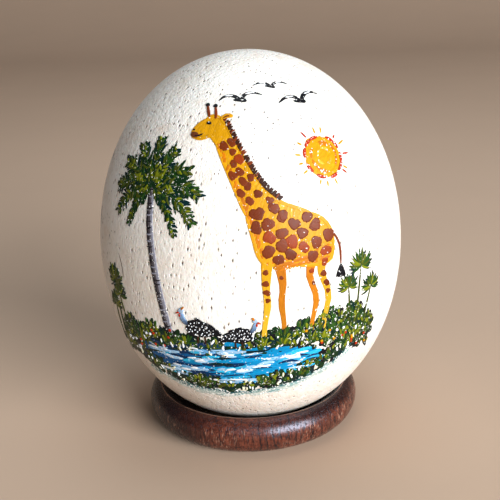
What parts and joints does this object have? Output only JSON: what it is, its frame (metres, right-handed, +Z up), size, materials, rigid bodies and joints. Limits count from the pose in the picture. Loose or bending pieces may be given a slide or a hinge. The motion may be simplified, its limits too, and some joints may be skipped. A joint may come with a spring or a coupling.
{
  "type": "ostrich egg on a ring stand",
  "caption": "Painted ostrich egg standing on end in a low turned hardwood ring, with a plain shell, dark pores and a savanna water hole painted across its front.",
  "frame": {"origin": "on the surface that the ring stands on, straight below the egg's long axis", "axes": "+Z up along the egg's long axis, +X to the right of the painted side, +Y to its back"},
  "size_m": [0.128, 0.128, 0.1607],
  "materials": {
    "eggshell": "ivory eggshell with a soft polish and fine dark pores, part covered by glossy acrylic paint",
    "ring_wood": "dark red-brown hardwood, turned and polished to a satin gloss"
  },
  "bodies": {
    "root": {"egg": "eggshell", "ring_stand": "ring_wood"}
  },
  "joints": []
}
